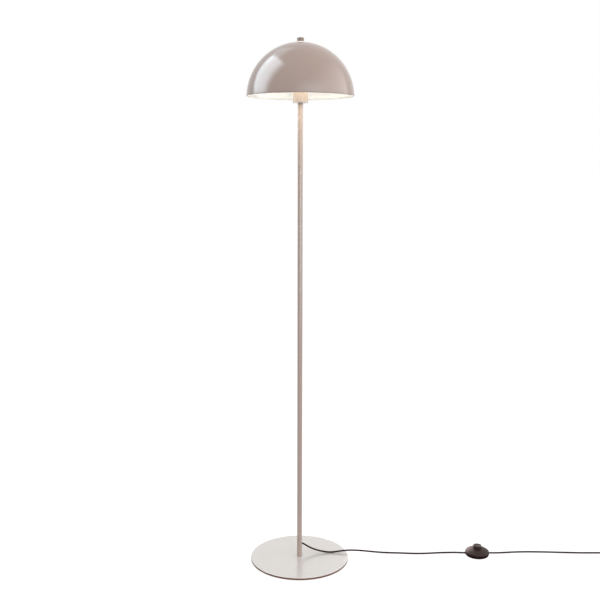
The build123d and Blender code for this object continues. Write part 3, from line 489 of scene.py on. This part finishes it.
def plug_skin(along, inset, around):
    """Rings round the plug at distances along it from the cord's end. Each ring is a superellipse
    |x / a| ** n + |z / b| ** n = 1, drawn in by the inset; a, b and n grow from the tail by a smooth step
    over the taper, and b dips by (1 - cos) / 2 into each groove of the grip."""
    grow = np.clip(along / taper_long, 0, 1)
    grow = grow * grow * (3 - 2 * grow)
    groove = np.clip((along - groove_start) / groove_pitch, 0, groove_count)
    dip = groove_deep * (1 - np.cos(2 * np.pi * groove)) / 2
    a = (tail_a + more_a * grow - inset)[:, None]
    b = (tail_b + more_b * grow - dip - inset)[:, None]
    power = (2 / (tail_power + more_power * grow))[:, None]
    across, up = np.cos(around)[None], np.sin(around)[None]
    return np.stack([plug_x + a * np.sign(across) * np.abs(across) ** power,
                     plug_tail_y - along[:, None] + 0 * across,
                     plug_z + b * np.sign(up) * np.abs(up) ** power], axis=-1)


bend = np.radians(np.linspace(0, 90, 7))
straight = np.linspace(plug_edge, plug_long - plug_edge, 100)[1:-1]
along = np.r_[plug_edge * (1 - np.cos(bend)), straight, plug_long - plug_edge * (1 - np.cos(bend))[::-1]]
inset = np.r_[plug_edge * (1 - np.sin(bend)), 0 * straight, plug_edge * (1 - np.sin(bend))[::-1]]
plug_rings = plug_skin(along, inset, 2 * np.pi * (np.arange(plug_sides) + 0.5) / plug_sides)
plug_moulding = skinned("plug_moulding", plug_rings, brown, "lamp", ["plug_body"])


# Cord: round flexible lead in a dark brown plastic sheath, out of a moulded bush at the back of the pole,
# over the edge of the foot, along the floor to the foot switch and on to a tied coil and the plug.

# Extruded vinyl is nearly black, with a long dull sheen that wavers along the cord.
sheath = mottled("extruded_soft_vinyl", ("#271216", "#30181D"), 0.006, 3.0, {"Specular IOR Level": 0.04},
                 gloss=(0.38, 0.52))
node["pole_lead"].data.materials.append(sheath)

cord_d = 0.0045


def flex(name, route, stands_for):
    """Round cord on one smooth spline of order 3, with the route's points as its control points."""
    line = bpy.data.curves.new(name, "CURVE")
    line.dimensions = "3D"
    line.bevel_depth = cord_d / 2
    line.bevel_resolution = 5
    line.resolution_u = 6
    line.use_fill_caps = True
    spline = line.splines.new("NURBS")
    spline.points.add(len(route) - 1)
    spline.points.foreach_set("co", np.c_[route, np.ones(len(route))].ravel())
    spline.order_u = 3
    spline.use_endpoint_u = True
    line.materials.append(sheath)
    piece = bpy.data.objects.new(name, line)
    bpy.context.collection.objects.link(piece)
    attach(piece, "lamp")
    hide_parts(*stands_for)
    return piece


on_floor, switch_cord_z, block_half = 0.0023, 0.0052, 0.018
exit_turn, exit_drop = radians(70), radians(25)
exit_height, exit_reach, exit_run = 0.0465, 0.0125, 0.0058
exit_way = np.array([np.cos(exit_turn) * np.cos(exit_drop), np.sin(exit_turn) * np.cos(exit_drop),
                     -np.sin(exit_drop)])
exit_point = np.array([0.0, 0.0, exit_height]) + exit_reach * exit_way
lead_out = flex("cord_pole_to_switch", np.array([
    exit_point,
    exit_point + exit_run * exit_way,
    (0.0094, 0.0196, 0.0356),
    (0.0150, 0.0219, 0.0316),
    (0.0216, 0.0218, 0.0270),
    (0.0322, 0.0210, 0.0216),
    (0.0460, 0.0197, 0.0166),
    (0.0634, 0.0186, 0.0124),
    (0.0860, 0.0182, 0.0094),
    (0.1080, 0.0188, 0.0118),
    (0.1320, 0.0202, 0.0148),
    (0.1580, 0.0226, 0.0140),
    (0.1860, 0.0262, 0.0102),
    (0.2140, 0.0298, 0.0056),
    (0.2430, 0.0320, on_floor),
    (0.2880, 0.0298, on_floor),
    (0.3300, 0.0262, on_floor),
    (0.3660, 0.0280, on_floor),
    (0.3980, 0.0320, on_floor),
    (0.4250, 0.0332, 0.0025),
    (0.4450, 0.0310, 0.0040),
    (0.4640, switch_y, switch_cord_z),
    (switch_x - block_half, switch_y, switch_cord_z),
]), ["cord_to_switch"])

coil_x, coil_in_y, coil_mid_r, coil_low = 0.905, 0.031, 0.025, 0.0034
coil_pitch, coil_turns, points_a_turn = 0.00505, 3.375, 16
coil_out_r = coil_mid_r + coil_pitch * coil_turns / 2
coil_in_r = coil_mid_r - coil_pitch * coil_turns / 2
coil_lean = np.arcsin(coil_pitch / (2 * np.pi * coil_out_r))
coil_y = coil_in_y - coil_out_r * np.cos(coil_lean)


def coil_line(turn, stand_off=1.0):
    """Middle line of the tied coil: radius falls by the pitch each turn, then over half a turn the line
    climbs one layer with a smooth step, and the radius grows again; clockwise from the +Y side. stand_off
    widens it."""
    climb = np.clip(turn - coil_turns, 0.0, 0.5)
    radius = np.where(turn < coil_turns, coil_out_r - coil_pitch * turn,
                      coil_in_r + coil_pitch * (turn - coil_turns - 2 * climb + 2 * climb ** 2))
    height = coil_low + coil_pitch * (3 * (2 * climb) ** 2 - 2 * (2 * climb) ** 3)
    angle = np.pi / 2 + coil_lean - 2 * np.pi * turn
    return np.stack([coil_x + stand_off * radius * np.cos(angle),
                     coil_y + stand_off * radius * np.sin(angle), height], axis=-1)


# Control points stand a little outside the coil, so that the smooth line through them has its radius.
coil_end = 2 * coil_turns + 0.5
coil_points = coil_line(np.linspace(0, coil_end, round(coil_end * points_a_turn) + 1),
                        4 / (3 + np.cos(2 * np.pi / points_a_turn)))
# The cord runs straight into the coil and out of it, the way the coil's line heads at its two ends.
a_bit, plug_first_run, plug_last_run = 1e-4, 0.014, 0.032
first, last = coil_line(np.array([0.0, coil_end]))
steps_on = coil_line(np.array([a_bit, coil_end + a_bit])) - [first, last]
first_way, last_way = steps_on / np.linalg.norm(steps_on, axis=1, keepdims=True)
last = last + cord_d * last_way
lead_on = flex("cord_switch_to_plug", np.array([
    (switch_x + block_half, switch_y, switch_cord_z),
    (0.5445, switch_y, switch_cord_z),
    (0.5630, 0.0280, 0.0040),
    (0.5850, 0.0330, 0.0027),
    (0.6110, 0.0374, on_floor),
    (0.6500, 0.0394, on_floor),
    (0.7000, 0.0384, on_floor),
    (0.7500, 0.0356, on_floor),
    (0.8010, 0.0324, 0.0025),
    (0.8510, 0.0310, coil_low),
    first - cord_d * first_way,
    *coil_points,
    last,
    last + plug_first_run * last_way,
    (plug_x, plug_tail_y + plug_last_run, plug_z),
    (plug_x, plug_tail_y, plug_z),
]), ["cord_to_coil", "cord_coil", "cord_to_plug"])


# Studio: a plain pale floor and soft light. Camera, mirror and glass rays see white past the lamp, and the
# floor keeps the lamp's soft shadow.

def lens_rays(finish):
    """Socket that is 1 for camera, mirror and glass rays, else 0."""
    path = add(finish, "ShaderNodeLightPath").outputs
    seen = add(finish, "ShaderNodeMath", {0: path["Is Camera Ray"], 1: path["Is Glossy Ray"]},
               operation="MAXIMUM")
    return add(finish, "ShaderNodeMath", {0: seen.outputs[0], 1: path["Is Transmission Ray"]},
               operation="MAXIMUM").outputs[0]


# Studio paper is a plain mid grey that takes the shadow, lifted to white for the rays that show it.
floor_lift, floor_grey, floor_z, reach = 0.78, 0.35, -0.0002, 60.0
floor_finish, out = bare_finish("pale_studio_floor")
lift = add(floor_finish, "ShaderNodeMath", {0: lens_rays(floor_finish), 1: floor_lift}, operation="MULTIPLY")
paper = add(floor_finish, "ShaderNodeBsdfDiffuse", {"Color": (floor_grey, floor_grey, floor_grey, 1.0)})
white = add(floor_finish, "ShaderNodeEmission", {"Strength": lift.outputs[0]})
both = add(floor_finish, "ShaderNodeAddShader", {0: paper.outputs[0], 1: white.outputs[0]})
floor_finish.node_tree.links.new(both.outputs[0], out.inputs["Surface"])
floor_mesh = bpy.data.meshes.new("studio_floor")
floor_mesh.from_pydata([(-reach, -reach, floor_z), (reach, -reach, floor_z), (reach, reach, floor_z),
                        (-reach, reach, floor_z)], [], [(0, 1, 2, 3)])
floor_mesh.materials.append(floor_finish)
floor = bpy.data.objects.new("studio_floor", floor_mesh)
bpy.context.collection.objects.link(floor)

scene = bpy.context.scene
scene.view_settings.view_transform = "Standard"
world = bpy.data.worlds.new("white_studio")
scene.world = world
world.use_nodes = True
world.node_tree.nodes.clear()
level = add(world, "ShaderNodeMapRange", {"Value": lens_rays(world), "To Min": 0.85, "To Max": 1.0})
sky = add(world, "ShaderNodeBackground", {"Color": (1.0, 1.0, 1.0, 1.0), "Strength": level.outputs["Result"]})
add(world, "ShaderNodeOutputWorld", {"Surface": sky.outputs["Background"]})


def soft_box(name, place, aim, width, height, radiance, fade=(0.2, 0.2, 0.2, 0.2), spread=180,
             lights="diffuse glossy", colour="#FFFFFF"):
    """Soft light at a place, facing the aim, unseen by the camera. Its power is pi times radiance times area.
    Its cloth dims smoothly to the left, right, low and high edge, each over a share of that side."""
    lamp = bpy.data.lights.new(name, "AREA")
    lamp.shape, lamp.size, lamp.size_y, lamp.spread = "RECTANGLE", width, height, radians(spread)
    lamp.energy = np.pi * radiance * width * height
    lamp.use_nodes = True
    lamp.node_tree.nodes.clear()
    across = add(lamp, "ShaderNodeNewGeometry").outputs["Parametric"]
    across = add(lamp, "ShaderNodeSeparateXYZ", {"Vector": across}).outputs
    bright = 1.0
    for way, edge, share in (("X", 0, fade[0]), ("X", 1, fade[1]), ("Y", 0, fade[2]), ("Y", 1, fade[3])):
        dim = add(lamp, "ShaderNodeMapRange", {"Value": across[way], "From Min": edge,
                                               "From Max": edge + share * (1 - 2 * edge)},
                  interpolation_type="SMOOTHSTEP")
        bright = add(lamp, "ShaderNodeMath", {0: dim.outputs["Result"], 1: bright},
                     operation="MULTIPLY").outputs[0]
    cloth = add(lamp, "ShaderNodeEmission", {"Color": linear(colour), "Strength": bright})
    add(lamp, "ShaderNodeOutputLight", {"Surface": cloth.outputs["Emission"]})
    box = bpy.data.objects.new(name, lamp)
    box.location = place
    box.rotation_euler = (Vector(aim) - Vector(place)).to_track_quat("-Z", "Y").to_euler()
    box.visible_camera = False
    box.visible_diffuse, box.visible_glossy = "diffuse" in lights, "glossy" in lights
    bpy.context.collection.objects.link(box)


# Lights that the lacquer mirrors or takes: left and above, right, low in front, and a broad panel in front.
cool, even_fade = "#E7F6FF", (0.1, 0.1, 0.1, 0.1)
soft_box("left_box", (-1.729, 0.192, 1.822), (-0.129, 0.417, 0.168), 1.92, 2.7, 4.1, (0.22, 0.32, 0.5, 0.06),
         lights="glossy", colour=cool)
soft_box("top_left_box", (-1.2, 1.4, 3.8), (0, 0, 1.35), 1.8, 1.6, 0.75, lights="glossy", colour=cool)
soft_box("right_box", (2.3, -0.7, 2.1), (0, 0, 1.2), 5.6, 4.6, 1.0, (0.9, 0.1, 0.1, 0.6), spread=140)
soft_box("low_box", (0.3, -3.0, 0.62), (0, 0, 0.62), 1.6, 1.24, 3.3, (0.2, 0.2, 0.05, 0.2), colour=cool)
soft_box("front_panel", (1.22, -2.3, 1.65), (0, 0, 1.3), 5.0, 3.2, 1.35, (0.5, 0.5, 0.3, 0.6),
         lights="glossy", colour=cool)
# A small card behind the switch gives its dark plastic a sheen, and a box in front fills the shadows.
soft_box("switch_card", (0.37, 0.39, 0.14), (0.506, 0.0255, 0.015), 0.5, 0.3, 1.5, spread=80,
         lights="glossy", colour="#FFE6DE")
soft_box("front_box", (1.0, -2.6, 2.6), (0, 0, 0.8), 1.8, 1.6, 1.9, lights="diffuse")
# Two soft lights face down under the shade, for the light that the lit bulb and the white inside throw there.
soft_box("glow_on_cup", (0, 0, 1.304), (0, 0.0001, 0), 0.185, 0.185, 5.8, even_fade, lights="diffuse",
         colour="#F4FFEC")
soft_box("glow_on_pole", (0, 0, 1.251), (0, 0.0001, 0), 0.36, 0.36, 1.5, even_fade, lights="diffuse",
         colour="#FFF6D0")

looks_down, roll = 9.034, 0.11
camera = bpy.data.objects.new("camera", bpy.data.cameras.new("camera"))
camera.data.sensor_width = 36.0
camera.data.lens = 53.07
camera.matrix_world = (Matrix.Translation((0.0, -2.351, 1.1115))
                       @ Matrix.Rotation(radians(90 - looks_down), 4, "X")
                       @ Matrix.Rotation(radians(roll), 4, "Z"))
bpy.context.collection.objects.link(camera)
scene.camera = camera
